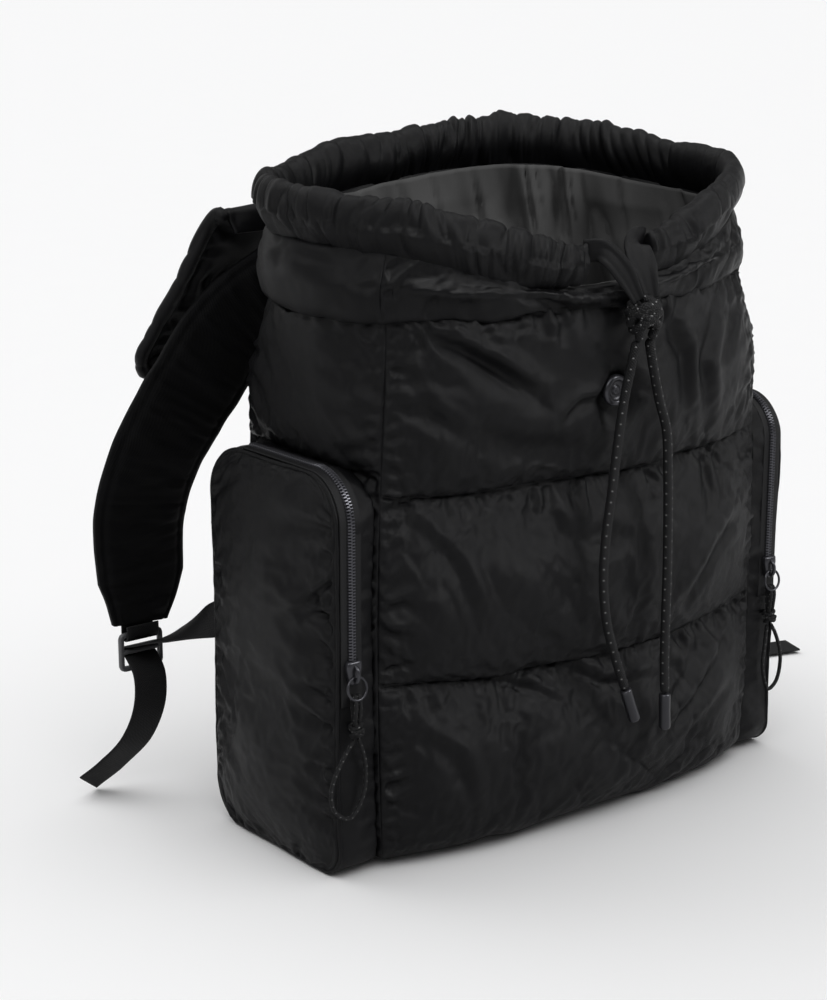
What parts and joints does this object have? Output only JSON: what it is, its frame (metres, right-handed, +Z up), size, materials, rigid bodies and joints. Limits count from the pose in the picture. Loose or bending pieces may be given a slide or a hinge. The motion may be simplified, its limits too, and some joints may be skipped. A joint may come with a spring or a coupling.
{
  "type": "quilted puffer backpack",
  "caption": "Quilted puffer backpack with a gathered drawcord mouth, zipped side pockets, padded straps and a lid thrown back.",
  "frame": {"origin": "centre of the base's flat underside, which the bag stands on", "axes": "+X towards the bag's side that is on the right when its front is seen, +Y from front to back towards the straps, +Z up"},
  "size_m": [0.551, 0.2568, 0.397],
  "materials": {
    "nylon": "satin padded nylon",
    "lining_nylon": "satin lining",
    "pad_cloth": "matte strap cloth",
    "webbing": "woven webbing and zip tape",
    "braid": "braided cord with light flecks",
    "plastic": "dark grey moulded plastic",
    "zip_metal": "black lacquered metal"
  },
  "bodies": {
    "root": {"back_panel": "nylon", "base_panel": "nylon", "cord_tab_left": "nylon", "cord_tab_right": "nylon", "drawcord_knot": "braid", "drawcord_left": "braid", "drawcord_right": "braid", "drawcord_tip_left": "zip_metal", "drawcord_tip_right": "zip_metal", "front_panel": "nylon", "ladder_lock_left": "plastic", "ladder_lock_right": "plastic", "lid": "nylon", "lid_binding": "nylon", "lining": "lining_nylon", "lock_tab_left": "webbing", "lock_tab_right": "webbing", "pocket_face_left": "nylon", "pocket_face_right": "nylon", "pocket_gusset_left": "nylon", "pocket_gusset_right": "nylon", "pull_knot_left": "braid", "pull_knot_right": "braid", "pull_loop_left": "braid", "pull_loop_right": "braid", "pull_ring_left": "zip_metal", "pull_ring_right": "zip_metal", "rim_casing": "nylon", "side_panel_left": "nylon", "side_panel_right": "nylon", "snap": "zip_metal", "strap_pad_left": "pad_cloth", "strap_pad_right": "pad_cloth", "webbing_left": "webbing", "webbing_right": "webbing", "zip_slider_left": "zip_metal", "zip_slider_right": "zip_metal", "zip_tape_left": "webbing", "zip_tape_right": "webbing", "zip_teeth_left": "zip_metal", "zip_teeth_right": "zip_metal"}
  },
  "joints": []
}
